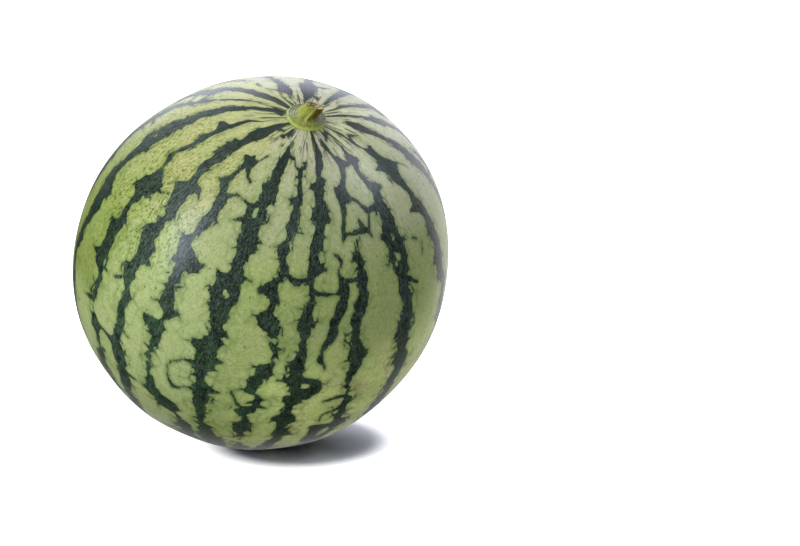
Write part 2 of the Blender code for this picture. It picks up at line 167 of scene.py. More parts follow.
# Veins, spurs and the network between stripes, as strokes: (longitude, angle, half width), in degrees
BRANCHES = [
    [(-75, 24.6, 1.6), (-80, 25, 0.9), (-83.5, 25.8, 0.2)],
    [(-61, 50, 0.8), (-57, 48.7, 0.5), (-55, 47.8, 0.3)],
    [(-70, 54, 1), (-71.5, 56.3, 0.2)],
    [(-62, 77.5, 0.9), (-65, 78, 0.5), (-68, 77.7, 0.2)],
    [(-58.5, 90.5, 0.9), (-61, 91.5, 0.6), (-63.2, 93, 0.2)],
    [(-56, 96, 0.8), (-52, 96.3, 0.5), (-48, 96.3, 0.6), (-45, 97, 1)],
    [(-50.3, 104.3, 0.9), (-49.5, 104.3, 0.6)],
    [(-50, 11, 1), (-44, 10.3, 0.6), (-38, 9.8, 0.2)],
    [(-58, 23.5, 1.2), (-61.3, 23.2, 0.3)],
    [(-47, 40.6, 1.2), (-45, 41.5, 0.7), (-42.7, 43, 0.2)],
    [(-45, 66, 1.3), (-42.8, 66.4, 0.2)],
    [(-50, 75.2, 0.7), (-53, 77.5, 0.4)],
    [(-43, 89.3, 0.6), (-40, 90, 0.2)],
    [(-39, 104, 0.7), (-35, 104.3, 0.35)],
    [(-37, 25, 1.6), (-34.5, 25.2, 1.6), (-33, 24.4, 0.7), (-31.3, 22.7, 0.45), (-30, 20.8, 0.6),
     (-28.5, 20.5, 0.2)],
    [(-34.5, 26.5, 1.3), (-31, 29.3, 0.45), (-28.8, 30, 0.7), (-27.3, 29.9, 0.2)],
    [(-40, 33.6, 1), (-43.8, 34.5, 0.3)],
    [(-34.5, 38, 1.2), (-32, 36.3, 0.7), (-29.5, 35.5, 0.45), (-25, 35.7, 0.45), (-21.5, 36.6, 0.9)],
    [(-22, 40.8, 0.9), (-24.5, 41.8, 0.5), (-26.7, 42.8, 0.15)],
    [(-34, 58, 1), (-29, 58.2, 1.2), (-26.3, 57, 0.3)],
    [(-33, 80.5, 1.5), (-36, 80.3, 1.2), (-37.3, 79, 0.4)],
    [(-33.5, 73.4, 0.8), (-35.8, 73, 0.45), (-37, 74, 0.2)],
    [(-26.7, 107, 1.2), (-26.7, 110, 0.5), (-26.5, 113, 0.15)],
    [(-36.5, 11.8, 0.6), (-33, 11.5, 0.9), (-29.5, 12, 0.6)],
    [(-27, 15.4, 0.3), (-24.5, 15, 0.5)],
    [(-31, 9, 2), (-27, 9, 2)],
    [(-15, 17, 1), (-11.5, 17.7, 0.7), (-7.8, 18, 0.5), (-5.5, 20.2, 0.35), (-2.5, 21.2, 0.5)],
    [(-13.5, 56, 0.8), (-10, 56, 0.35)],
    [(-20, 58, 0.9), (-22.3, 56.5, 0.3)],
    [(-13, 81.8, 1), (-10.3, 82.1, 0.2)],
    [(-19.5, 79, 1), (-21.5, 77.8, 0.3)],
    [(-13, 93.8, 1), (-9.7, 93, 0.5)],
    [(-18.5, 85.6, 0.8), (-21.5, 85.9, 0.45), (-23.7, 87.6, 0.6), (-25.6, 89.5, 0.35), (-25.6, 93, 0.35),
     (-24, 96, 0.5), (-22.3, 97.5, 0.6), (-19.5, 95.8, 0.45), (-17, 95, 0.7)],
    [(1.2, 18.6, 0.3), (2.5, 19.8, 0.8), (4.2, 20, 0.15)],
    [(2.5, 20, 0.8), (0.5, 21, 0.7)],
    [(-2, 31, 0.9), (-4.3, 30.7, 0.2)],
    [(2.5, 39.7, 0.5), (6, 39.8, 0.15)],
    [(-3, 44.8, 0.7), (-6, 44.7, 0.15)],
    [(0.5, 51.8, 0.7), (3.5, 52.8, 0.7), (5, 53.6, 1.1), (7.2, 52.8, 0.7), (9.5, 52.5, 0.9)],
    [(-4, 57.3, 0.9), (-7.3, 57.8, 0.2)],
    [(3, 73.4, 0.7), (4.8, 73.5, 0.2)],
    [(2.5, 81.5, 0.7), (4.7, 82.4, 0.2)],
    [(-2, 89, 0.6), (-4.5, 89.6, 0.35), (-6.3, 91.2, 0.5), (-4.5, 94, 0.4), (-3, 96.3, 0.8)],
    [(-2, 104.7, 0.7), (-4, 104.5, 0.2)],
    [(10, 25.5, 1), (6.9, 26.3, 0.4)],
    [(16, 23.6, 1), (19, 23.6, 0.3)],
    [(16.5, 35.2, 0.9), (19.2, 34.9, 0.2)],
    [(12.5, 56.2, 0.9), (16, 56.3, 0.6), (20.5, 56.2, 0.4)],
    [(10, 83.5, 0.7), (5.6, 83.9, 0.35)],
    [(13, 84, 0.9), (16, 84.2, 1), (18, 86, 1.3), (17, 88, 1.6), (14.5, 90, 1.6)],
    [(13.5, 101, 0.8), (15.8, 102, 0.2)],
    [(14, 109, 1), (17.5, 110.7, 0.2)],
    [(27.5, 12, 1.6), (30, 12.8, 2), (31, 15, 1.2), (33.5, 17.6, 1.3), (37, 18.8, 1.9), (39.5, 19, 1.3),
     (44, 19.6, 0.6), (47, 20, 0.8)],
    [(35.5, 19.5, 2.4), (34, 21.5, 1.7), (31.5, 24, 1), (29.5, 26, 1.6)],
    [(24, 26.5, 1), (26, 28.5, 2.2), (26.3, 32, 1.6), (25.3, 35, 0.9), (24.3, 38, 0.9), (23.8, 40.5, 0.9),
     (23, 42, 0.3)],
    [(26, 27.5, 1.6), (29, 28, 2.2), (31, 29.5, 1.2), (35, 30.5, 0.8), (38, 33, 0.9), (40.5, 34.3, 1),
     (44.5, 34.2, 0.9), (48, 33.5, 1.2)],
    [(24, 39.5, 0.9), (28, 39.8, 0.6), (33, 39.3, 0.9), (36.5, 39.8, 0.7), (38, 42, 0.3)],
    [(34, 38.5, 1.4), (33, 36, 0.3)],
    [(40.3, 34.8, 0.7), (38.3, 38, 0.7), (36.8, 40, 0.7)],
    [(28.5, 46, 0.7), (26, 47.7, 0.5)],
    [(18.5, 45.2, 0.45), (21, 46, 0.55), (21.8, 47.8, 0.55), (20.7, 50, 0.55), (22, 52.5, 0.8),
     (25, 52.7, 0.6), (29, 52.7, 0.8)],
    [(22, 53, 1.3), (23, 54.5, 1.3), (20.5, 56, 0.8)],
    [(24, 55, 1.2), (22, 60, 1.6), (20, 65, 1.6), (19.7, 69, 1.6), (18, 71.5, 1), (17, 73.5, 0.6),
     (17, 76.5, 0.9), (18.2, 78, 0.5), (19.3, 80, 0.2)],
    [(29, 91.5, 0.9), (24.5, 91.8, 0.7), (21.5, 92.8, 0.4)],
    [(28, 97, 0.9), (25, 98.3, 0.5), (23, 100, 0.5), (23.5, 102.5, 0.4)],
    [(30, 106, 1.6), (27, 107.3, 1.4), (24, 106.8, 1.4), (22, 106.5, 1.2)],
    [(24, 108, 2), (24.5, 112, 1.6), (24.5, 118, 2)],
    [(36, 10.5, 0.5), (40, 9, 0.9), (46, 8, 1.1), (54, 7.5, 0.9)],
    [(52, 19, 1.4), (55.8, 20, 0.3)],
    [(53, 29.5, 1.4), (57.7, 30, 0.3)],
    [(50, 57, 1), (53, 59, 0.8), (56, 61, 0.4)],
    [(76, 20.3, 0.9), (79.5, 20.3, 0.4)],
    [(69, 26.3, 0.8), (65, 25.8, 0.5), (62, 25.6, 0.2)],
    [(78, 29.3, 1.6), (84, 30, 0.4), (88, 34, 0.2)],
    [(71.5, 42, 1.3), (66, 41.3, 0.4)],
    [(71, 51.3, 0.8), (69, 51.5, 0.3)],
    [(70, 14.5, 0.7), (74, 13.2, 0.7), (79, 14.2, 0.5), (84, 16, 0.25)],
    [(63.8, 51.5, 0.4), (62.3, 53.8, 0.3)],
    [(59.3, 47.8, 0.3), (61.5, 49, 0.4)],
    [(162, 11, 0.5), (166, 11.6, 1), (172, 12.6, 0.8)],
    [(161, 24.5, 0.4), (165, 22, 0.9), (171, 21, 0.8)],
    [(210, 14.5, 0.9), (217, 16.8, 0.6), (221, 19.5, 0.3)],
    [(217, 25, 0.5), (219.5, 23, 1.1), (221, 22, 0.4)],
    [(251, 10.8, 0.5), (257, 9.3, 0.9), (264, 8.2, 1.3), (270, 7.8, 1.1), (277, 7.3, 0.5)],
]

# Light flecks left inside the stripes: (longitude, angle from the stem, radius)
ISLANDS = [
    (-91, 46.5, 1.2), (-18.3, 37.7, 1), (-16.2, 62, 1), (14, 86, 1.1), (48.7, 44.5, 1), (48.5, 50, 1.5),
    (46.8, 51.4, 0.7), (-30, 97, 0.4),
]

# How the stripes go on where they aren't listed: their usual half widths, the steps down and the
# swells that they are drawn with, and their spurs, to the blossom end
FAR_SEED = 41
VEIN_SEED = 12
STEPS_DOWN = [1.2, 1.8, 2.6, 3.6, 5]
SWELLS = [0.3, 0.6, 0.9, 1.3, 2.1]
SPUR_REACHES = [1.5, 2.5, 4, 6, 9]
SPUR_TIPS = [0.15, 0.3, 0.7]
SPUR_SHARE = 0.45
THIN_SPUR_SHARE = 0.35
USUAL_HALF = [3, 3.2, 3.4, 2.8, 3, 2.6, 3, 2.6, 3.4, 3.4, 3.8, 2.8, 4, 3, 4.8, 4, 4.4, 2.6, 3.8]

# Thin stripes between the far ones: (longitude, angle where it starts, usual half width)
THIN = [(108, 38, 1.1), (126, 52, 0.9), (144, 40, 1.2), (165, 34, 1.4), (189, 44, 1.1), (217, 30, 1.9),
        (243, 58, 1), (83, 128, 1.1), (37, 128, 1), (283, 104, 1.1)]
BLOSSOM_START = 171

# The stalk, nearly as its solid is: a little slimmer and lower
STUB_LEAN = math.radians(28)
STUB_LEAN_TURN = math.radians(92)
CUT_SLANT = math.radians(20)
CUT_TURN = math.radians(158)
STUB_FOOT = 1.4 * MM
STUB_RADIUS = 5.1 * MM
STUB_HEIGHT = 8.7 * MM
FLARE_HEIGHT = 4.4 * MM
COLLAR_RADIUS = 10.4 * MM
COLLAR_LIP = 1.3 * MM

# The camera of the first view
CAMERA_HEIGHT = math.radians(12)
CAMERA_DISTANCE = 1.0125
CAMERA_LENS = 85
CAMERA_SENSOR = 36
CENTRE_ACROSS = (263.6 - 400) / 800
CENTRE_UP = (273 - 261.4) / 800


def leaning():
    """The turn that takes the upright fruit, stem up, to the way it lies."""
    hinge = Vector((-math.sin(LEAN_TOWARDS), math.cos(LEAN_TOWARDS), 0))
    return Matrix.Rotation(LEAN, 4, hinge)


def select_only(piece):
    """One piece is selected and active."""
    bpy.ops.object.select_all(action="DESELECT")
    piece.select_set(True)
    bpy.context.view_layer.objects.active = piece


def merged_copy(node, name):
    """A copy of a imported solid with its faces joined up. The solid itself is left alone."""
    select_only(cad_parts[node])
    bpy.ops.object.duplicate()
    copy = bpy.context.object
    copy.name = name
    copy.data.name = name
    for key in list(copy.keys()):
        del copy[key]
    copy.parent = None
    copy.matrix_world = Matrix.Identity(4)
    copy.data.materials.clear()
    bpy.ops.mesh.customdata_custom_splitnormals_clear()
    bpy.ops.object.mode_set(mode="EDIT")
    bpy.ops.mesh.select_all(action="SELECT")
    bpy.ops.mesh.remove_doubles(threshold=0.01 * MM)
    bpy.ops.mesh.tris_convert_to_quads()
    bpy.ops.mesh.normals_make_consistent(inside=False)
    bpy.ops.object.mode_set(mode="OBJECT")
    return copy


def apply_modifier(piece, kind, **settings):
    """A modifier, set and applied."""
    modifier = piece.modifiers.new("shape", kind)
    for key, value in settings.items():
        setattr(modifier, key, value)
    select_only(piece)
    bpy.ops.object.modifier_apply(modifier=modifier.name)


def points_of(piece):
    """The piece's vertices as an array with one row each."""
    flat = np.empty(len(piece.data.vertices) * 3)
    piece.data.vertices.foreach_get("co", flat)
    return flat.reshape(-1, 3)


def move_points(piece, points):
    """Puts the piece's vertices at these points."""
    piece.data.vertices.foreach_set("co", np.ascontiguousarray(points, dtype=np.float32).ravel())
    piece.data.update()


def in_fruit(points):
    """Points as the upright fruit has them, with its centre at the origin."""
    turn = np.array(leaning().to_3x3())
    return (points - np.array(FRUIT_CENTRE)) @ turn


def longitudes(points):
    """(longitude, angle from the stem) of the upright fruit's points, in degrees."""
    longitude = np.degrees(np.arctan2(points[:, 0], -points[:, 1]))
    across = np.hypot(points[:, 0], points[:, 1])
    return longitude, np.degrees(np.arctan2(across, points[:, 2]))


def number_layer(piece, name, values):
    """A number for each vertex that the material reads."""
    layer = piece.data.attributes.new(name, "FLOAT", "POINT")
    layer.data.foreach_set("value", np.ascontiguousarray(values, dtype=np.float32))


def vector_layer(piece, name, values):
    """A vector for each vertex that the material reads."""
    layer = piece.data.attributes.new(name, "FLOAT_VECTOR", "POINT")
    layer.data.foreach_set("vector", np.ascontiguousarray(values, dtype=np.float32).ravel())


def eased(stroke, parts):
    """The stroke with a smooth curve through its points."""
    marks = [np.array(mark, dtype=float) for mark in stroke]
    marks = [2 * marks[0] - marks[1]] + marks + [2 * marks[-1] - marks[-2]]
    curve = []
    for index in range(1, len(marks) - 2):
        before, start, end, after = marks[index - 1:index + 3]
        for step in range(parts):
            share = step / parts
            leaving = (end - before) / 2
            bend = 3 * (end - start) - 2 * leaving - (after - start) / 2
            close = leaving + (after - start) / 2 - 2 * (end - start)
            curve.append(start + share * (leaving + share * (bend + share * close)))
    curve.append(marks[-2])
    return curve


def unsteady(curve, dice):
    """The same curve with a slight wander and swelling, as veins have."""
    return [mark * np.array([1, 1, dice.uniform(0.7, 1.35)]) + np.array(
        [dice.uniform(-0.22, 0.22), dice.uniform(-0.22, 0.22), 0]) for mark in curve]


def stroke_field(longitude, angle, strokes, parts, dice):
    """How far inside the nearest stroke each vertex is, in degrees; below zero outside."""
    order = np.argsort(angle, kind="stable")
    rows = angle[order]
    field = np.full(len(longitude), -FIELD_REACH)
    for stroke in strokes:
        curve = unsteady(eased(stroke, parts), dice)
        for start, end in zip(curve[:-1], curve[1:]):
            reach = FIELD_REACH + max(start[2], end[2])
            first = np.searchsorted(rows, min(start[1], end[1]) - reach)
            last = np.searchsorted(rows, max(start[1], end[1]) + reach)
            near = order[first:last]
            east = (longitude[near] - start[0] + 180) % 360 - 180
            span = reach + abs(end[0] - start[0])
            close = np.abs(east) < span
            near = near[close]
            east = east[close]
            run = end[:2] - start[:2]
            length = max(1e-6, float(run @ run))
            down = angle[near] - start[1]
            share = np.clip((east * run[0] + down * run[1]) / length, 0, 1)
            away = np.hypot(east - share * run[0], down - share * run[1])
            half = start[2] + (end[2] - start[2]) * share
            field[near] = np.maximum(field[near], half - away)
    return field


def lobed(angles, edge, outwards, fine):
    """An edge between its marks: pointed where the dark reaches out, round where the light reaches in."""
    reach = outwards * edge
    before = np.concatenate([[reach[0]], reach[:-1]])
    after = np.concatenate([reach[1:], [reach[-1]]])
    point = (reach >= before) & (reach >= after)
    bay = (reach <= before) & (reach <= after)
    index = np.clip(np.searchsorted(angles, fine, side="right") - 1, 0, len(angles) - 2)
    share = (fine - angles[index]) / (angles[index + 1] - angles[index])
    steep_start = np.sqrt(np.clip(share * (2 - share), 0, 1))
    steep_end = 1 - np.sqrt(np.clip(1 - share * share, 0, 1))
    start_point = point[index]
    start_bay = bay[index]
    end_point = point[index + 1]
    end_bay = bay[index + 1]
    eased_share = np.where(start_point & end_bay, steep_start, share)
    eased_share = np.where(start_bay & end_point, steep_end, eased_share)
    eased_share = np.where(start_point & ~end_bay, (np.sqrt(share) + share) / 2, eased_share)
    eased_share = np.where(end_point & ~start_bay, 1 - (np.sqrt(1 - share) + 1 - share) / 2, eased_share)
    eased_share = np.where(end_bay & ~start_point, share * (2 - share), eased_share)
    eased_share = np.where(start_bay & ~end_point, share * share, eased_share)
    return edge[index] + (edge[index + 1] - edge[index]) * eased_share


def stripe_field(longitude, angle, stripes):
    """How far inside the nearest stripe each vertex is, in degrees of longitude; below zero outside."""
    field = np.full(len(longitude), -FIELD_REACH)
    for stripe in stripes:
        marks = np.array(stripe, dtype=float)
        fine = np.arange(marks[0, 0], marks[-1, 0], FINE_STEP)
        left = np.interp(angle, fine, lobed(marks[:, 0], marks[:, 1], -1, fine))
        right = np.interp(angle, fine, lobed(marks[:, 0], marks[:, 2], 1, fine))
        east = (longitude - left + 180) % 360 - 180
        inside = np.minimum(east, right - left - east)
        ends = np.minimum(angle - marks[0, 0], marks[-1, 0] - angle)
        field = np.maximum(field, np.minimum(inside, 1.5 * ends + 0.3))
    return field


def carried_on(stripe, usual, dice):
    """A stripe with its way on to the blossom end, with points and bays of its own on both sides."""
    marks = list(stripe)
    angle, left, right = marks[-1]
    middle = (left + right) / 2
    home = middle
    sides = [usual, usual]
    while angle < BLOSSOM_START:
        angle += dice.choice(STEPS_DOWN)
        middle += dice.uniform(-1.3, 1.3) + 0.06 * (home - middle)
        sides = [0.4 * side + 0.6 * usual * dice.choice(SWELLS) for side in sides]
        marks.append((angle, middle - sides[0], middle + sides[1]))
    return marks


def spurs(marks, dice, often):
    """Short branches and thin links that leave a stripe on both sides."""
    made = []
    for angle, left, right in marks:
        if dice.random() > often:
            continue
        side = dice.choice([-1, 1])
        edge = left if side < 0 else right
        reach = dice.choice(SPUR_REACHES)
        rise = dice.uniform(-3, 3)
        start = (edge - side * 0.5, angle, 0.9)
        middle = (edge + side * 0.45 * reach, angle + 0.5 * rise, 0.6)
        tip = (edge + side * reach, angle + rise, dice.choice(SPUR_TIPS))
        made.append([start, middle, tip])
    return made


def every_marking():
    """(stripes, finer strokes), over the whole fruit."""
    dice = random.Random(FAR_SEED)
    stripes = []
    branches = list(BRANCHES)
    for stripe, usual in zip(STRIPES, USUAL_HALF):
        marks = carried_on(stripe, usual, dice)
        stripes.append(marks)
        branches.extend(spurs(marks[len(stripe):], dice, SPUR_SHARE))
    for longitude, angle, usual in THIN:
        marks = carried_on([(angle, longitude - 0.3, longitude + 0.3)], usual, dice)
        stripes.append(marks)
        branches.extend(spurs(marks[1:], dice, THIN_SPUR_SHARE))
    return stripes, branches


def mark_rind(rind):
    """The layers that the rind's material reads: the stripes, the veins, and the skin laid out flat."""
    longitude, angle = longitudes(in_fruit(points_of(rind)))
    stripes, branches = every_marking()
    stripe = stripe_field(longitude, angle, stripes)
    vein = stroke_field(longitude, angle, branches, 3, random.Random(VEIN_SEED))
    for middle, down, radius in ISLANDS:
        east = (longitude - middle + 180) % 360 - 180
        hole = np.hypot(east, angle - down) - radius
        stripe = np.minimum(stripe, hole)
        vein = np.minimum(vein, hole)
    number_layer(rind, "stripe", stripe)
    number_layer(rind, "vein", vein)
    turn = np.radians(longitude)
    roll = 180 / math.pi
    vector_layer(rind, "growth", np.column_stack([roll * np.sin(turn), -roll * np.cos(turn), angle]))


def ball(name, segments, rings, radius):
    """A round mesh whose poles lie as the fruit's do."""
    bpy.ops.object.select_all(action="DESELECT")
    bpy.ops.mesh.primitive_uv_sphere_add(
        segments=segments,
        ring_count=rings,
        radius=radius,
        location=FRUIT_CENTRE,
        rotation=leaning().to_euler(),
    )
    piece = bpy.context.object
    piece.name = name
    piece.data.name = name
    bpy.ops.object.transform_apply(location=True, rotation=True, scale=True)
    return piece


def make_rind():
    """The fruit's skin: a fine round mesh drawn onto the solid's shape."""
    guide = merged_copy("fruit", "guide")
    apply_modifier(guide, "SUBSURF", levels=2)
    rind = ball("rind", MERIDIANS, PARALLELS, START_RADIUS)
    mark_rind(rind)
    apply_modifier(rind, "SHRINKWRAP", target=guide, wrap_method="NEAREST_SURFACEPOINT")
    bpy.data.objects.remove(guide)
    points = points_of(rind)
    outwards = np.empty(len(points) * 3)
    rind.data.vertices.foreach_get("normal", outwards)
    inwards = -outwards.reshape(-1, 3)
    depth = np.array([uneven(Vector(point)) for point in points])
    depth *= smooth_steps(0, 4 * MM, points[:, 2])
    move_points(rind, points + inwards * depth[:, None])
    bpy.ops.object.shade_smooth()
    return rind


def uneven(point):
    """How far the skin sinks below the solid's at a point: slow, slight unevenness."""
    slow = noise.noise(point / (31 * MM))
    quick = noise.noise(point / (9 * MM) + Vector((7, 3, 5)))
    return WRAP_INSET + (0.16 * (slow + 0.6) + 0.045 * (quick + 0.6)) * MM


# The finer mesh of the stalk, and the loose fibres on its cut
STALK_SIDES = 180
STALK_RINGS = 120
COLLAR_SINK = 0.25 * MM
FIBRES = 22
FIBRE_SEED = 5


def stalk_profile():
    """(radius, height, place) down the stalk: 0 mid cut, 1 cut rim, 2 flare, 3 collar rim, 4 underside."""
    return [
        (0, STUB_HEIGHT - 2.2 * MM, 0),
        (0.4 * STUB_RADIUS, STUB_HEIGHT - 1.9 * MM, 0.35),
        (0.66 * STUB_RADIUS, STUB_HEIGHT - 0.9 * MM, 0.75),
        (0.8 * STUB_RADIUS, STUB_HEIGHT, 1),
        (0.89 * STUB_RADIUS, STUB_HEIGHT - 0.7 * MM, 1.12),
        (0.92 * STUB_RADIUS, 0.5 * (STUB_HEIGHT + FLARE_HEIGHT), 1.55),
        (STUB_RADIUS, 0.86 * FLARE_HEIGHT, 2),
        (1.16 * STUB_RADIUS, 0.52 * FLARE_HEIGHT, 2.2),
        (0.8 * COLLAR_RADIUS, 0.34 * FLARE_HEIGHT, 2.5),
        (0.95 * COLLAR_RADIUS, COLLAR_LIP, 2.85),
        (COLLAR_RADIUS, 0.5 * COLLAR_LIP, 3),
        (0.97 * COLLAR_RADIUS, -COLLAR_SINK, 3.15),
        (0.9 * COLLAR_RADIUS, -2 * COLLAR_SINK, 3.4),
        (0, -2 * COLLAR_SINK, 4),
    ]


def smooth_steps(low, high, values):
    """0 below low, 1 above high, and an even S between them, for an array."""
    share = np.clip((values - low) / (high - low), 0, 1)
    return share * share * (3 - 2 * share)


def waves(turn, counts, dice):
    """An uneven wave round the stalk, made of a few even ones."""
    total = np.zeros(len(turn))
    for count in counts:
        total += dice.uniform(0.6, 1) * np.cos(count * turn + dice.uniform(0, 2 * math.pi))
    return total / len(counts)


def skin_height(rind, off_axis):
    """How high the skin stands round the stem, at these distances from the fruit's axis."""
    points = in_fruit(points_of(rind))
    points = points[points[:, 2] > 0.9 * FRUIT_RADIUS]
    away = np.hypot(points[:, 0], points[:, 1])
    order = np.argsort(away)
    return np.interp(off_axis, away[order], points[order, 2])


def stalk_points(turn, share, dice):
    """The stalk's points as the upright fruit has them, above the skin, and their place on the profile."""
    profile = np.array(eased(stalk_profile(), 6))
    steps = np.hypot(np.diff(profile[:, 0]), np.diff(profile[:, 1]))
    steps = steps * np.where(profile[1:, 2] > 3.2, 0.15, 1)
    along = np.concatenate([[0], np.cumsum(steps)])
    wanted = share * along[-1]
    off_axis = np.interp(wanted, along, profile[:, 0])
    height = np.interp(wanted, along, profile[:, 1])
    place = np.interp(wanted, along, profile[:, 2])
    widest = np.clip(off_axis / STUB_RADIUS, 0, 1)
    stub = smooth_steps(2.7, 2.1, place) * widest
    ribs = 0.30 * np.cos(9 * turn) + 0.16 * waves(turn, (5, 14, 17), dice)
    ribs += 0.07 * waves(turn, (31, 38, 45), dice)
    collar = smooth_steps(2.3, 2.7, place) * smooth_steps(3.3, 3.05, place)
    uneven_rim = 0.28 * waves(turn, (2, 3, 5, 7), dice) + 0.05 * waves(turn, (23, 29, 37), dice)
    off_axis = off_axis + (ribs * stub + uneven_rim * collar) * MM
    ragged = 0.42 * waves(turn, (3, 7, 11), dice) + 0.2 * waves(turn, (19, 26, 33), dice)
    crown = smooth_steps(0.5, 1, place) * smooth_steps(1.45, 1.05, place)
    height = height + ragged * crown * MM
    strands = 0.2 * waves(turn, (8, 13, 21), dice)
    height = height + strands * smooth_steps(0, 0.3, place) * smooth_steps(1, 0.6, place) * MM
    streaks = 0.05 * waves(turn, (40, 52, 64), dice)
    height = height + streaks * collar * MM
    return off_axis, height, place


def lean_stub(turn, off_axis, height):
    """Points of the stub leant over and cut on a slant, as the upright fruit has them above the skin."""
    points = np.column_stack([off_axis * np.sin(turn), -off_axis * np.cos(turn), height])
    way = np.array([math.sin(STUB_LEAN_TURN), -math.cos(STUB_LEAN_TURN), 0])
    slant = smooth_steps(0.7 * FLARE_HEIGHT, STUB_HEIGHT, height)
    cut_way = np.array([math.sin(CUT_TURN), -math.cos(CUT_TURN), 0])
    points[:, 2] -= math.tan(CUT_SLANT) * (points @ cut_way) * slant
    raised = smooth_steps(COLLAR_LIP, FLARE_HEIGHT, height)
    over = math.tan(STUB_LEAN) * np.maximum(0, height - COLLAR_LIP) - STUB_FOOT
    return points + (over * raised)[:, None] * way


def lay_down(points):
    """The upright fruit's points at their place in the frame."""
    turn = np.array(leaning().to_3x3())
    return points @ turn.T + np.array(FRUIT_CENTRE)


def make_stalk(rind):
    """The cut stub and the collar that it stands on."""
    dice = random.Random(FIBRE_SEED)
    stalk = ball("stalk_visual", STALK_SIDES, STALK_RINGS, COLLAR_RADIUS)
    longitude, angle = longitudes(in_fruit(points_of(stalk)))
    turn = np.radians(longitude)
    off_axis, height, place = stalk_points(turn, angle / 180, dice)
    points = lean_stub(turn, off_axis, height)
    points[:, 2] += skin_height(rind, off_axis)
    move_points(stalk, lay_down(points))
    number_layer(stalk, "place", place)
    reach = STUB_RADIUS / MM
    along = height / MM - off_axis / MM
    vector_layer(stalk, "growth", np.column_stack([reach * np.sin(turn), -reach * np.cos(turn), along]))
    select_only(stalk)
    bpy.ops.object.shade_smooth()
    return stalk


def make_fibres(rind):
    """Short dry fibres that stand up round the ragged cut."""
    dice = random.Random(FIBRE_SEED)
    parts = []
    for index in range(FIBRES):
        turn = math.radians(150 + 200 * index / FIBRES + dice.uniform(-9, 9))
        length = dice.uniform(0.9, 2.3) * MM
        foot = lean_stub(np.array([turn]), np.array([0.9 * STUB_RADIUS]), np.array([STUB_HEIGHT - 0.5 * MM]))
        foot[:, 2] += skin_height(rind, np.array([0.9 * STUB_RADIUS]))
        foot = Vector(lay_down(foot)[0])
        spread = dice.uniform(-0.35, 0.5)
        way = Vector((spread * math.sin(turn) + 0.3 * dice.uniform(-1, 1), -spread * math.cos(turn), 1))
        way = (leaning().to_3x3() @ way).normalized()
        bpy.ops.object.select_all(action="DESELECT")
        bpy.ops.mesh.primitive_cone_add(
            vertices=7,
            radius1=dice.uniform(0.2, 0.34) * MM,
            radius2=0.05 * MM,
            depth=length,
            location=foot + way * 0.45 * length,
            rotation=way.to_track_quat("Z", "Y").to_euler(),
        )
        bpy.ops.object.transform_apply(location=True, rotation=True, scale=True)
        parts.append(bpy.context.object)
    bpy.ops.object.select_all(action="DESELECT")
    for part in parts:
        part.select_set(True)
    bpy.context.view_layer.objects.active = parts[0]
    bpy.ops.object.join()
    fibres = bpy.context.object
    fibres.name = "stalk_fibres"
    fibres.data.name = "stalk_fibres"
    bpy.ops.object.shade_smooth()
    return fibres


# The surroundings' brightness: low and high behind the fruit, on its left and right, below it and
# overhead, and the tint of the high part
LOW_BEHIND = (0.25, 1.4)
HIGH_BEHIND = (2.4, 1.9)
BELOW = 0.55
OVERHEAD = 0.3
HIGH_TINT = (0.86, 0.88, 1.06, 1)
TO_CAMERA = 1.1

# Painted light and shadow: the floor glows white to the camera away from the fruit's contact shadow, and is
# painted darker at the shadow's deepest part; the shadow's middle, where it ends, and its darkest part
SHADOW_MIDDLE = (20 * MM, -4 * MM, 0)
SHADOW_REACH = (36 * MM, 56 * MM)
SHADOW_DEEPEST = (42 * MM, -12 * MM, 0)
SHADE_REACH = (34 * MM, 6 * MM)

# Soft lamps: (name, place, size, power, tint, whether the skin's shine shows it)
LAMPS = [
    ("window", (-1.1, -0.88, 0.7), (0.36, 1), 14, (0.78, 0.82, 1), True),
    ("left_high", (-0.85, -1, 1.15), (0.6, 0.6), 15, (0.96, 1, 0.86), False),
    ("overhead", (-0.75, -0.15, 1.5), (1, 1), 8, (1, 0.92, 0.74), False),
    ("above_behind", (-0.2, 0.7, 1.5), (1.2, 0.8), 17, (0.95, 0.9, 1), False),
    ("right_high", (1.05, -0.1, 1.1), (0.7, 0.7), 8.5, (0.8, 0.84, 1), True),
    ("front", (0.42, -1.3, 0.75), (0.5, 0.4), 1.1, (0.8, 0.86, 1), True),
]


# Materials: the display colours, 0 to 255, of the rind's layers and of the stalk's

# Some of the rind's tones are painted light: a lighter green with warm patches low down is painted bounce
# light, a whitish tone on the upper right is a painted haze of reflection, and the paler wisps in the
# stripes are partly painted sheen
RIND_TONES = {
    "by_stem": (163, 158, 136), "shoulder": (152, 156, 118), "flank": (155, 167, 108), "tan": (156, 154, 92),
    "moss": (138, 152, 74), "low": (202, 220, 127), "warm_bounce": (214, 198, 140), "right": (182, 184, 146),
    "left": (100, 116, 24), "broad": (136, 153, 84), "blotch": (112, 130, 66), "light": (198, 200, 158),
    "grain": (88, 106, 40), "net": (98, 120, 66), "fringe": (86, 110, 48), "freckle": (84, 98, 18),
    "darkest": (2, 9, 5), "dark": (24, 38, 30), "fresh": (38, 72, 28), "wisp_and_sheen": (82, 98, 90),
    "grit": (80, 97, 77), "fleck": (92, 112, 62), "dark_left": (3, 10, 4), "dark_by_stem": (4, 12, 8),
    "speck": (62, 72, 18), "hairline": (32, 44, 28), "cork": (128, 104, 66), "old_cork": (84, 62, 36),
}
STALK_TONES = {
    "green": (90, 96, 18), "light_green": (146, 152, 52), "hair": (176, 180, 92), "disc": (78, 92, 58),
    "light_disc": (132, 140, 102), "disc_hair": (172, 176, 142), "lime": (98, 106, 28),
    "light_lime": (142, 150, 60), "rim": (170, 184, 88), "rust": (62, 38, 10), "light_rust": (118, 82, 26),
    "flesh": (112, 84, 38), "light_flesh": (196, 184, 146), "hollow_shade": (58, 40, 16), "speck": (76, 62, 26),
}
FIBRE_TONES = {"fibre": (142, 122, 78), "light_fibre": (196, 184, 150), "speck": (100, 72, 36)}
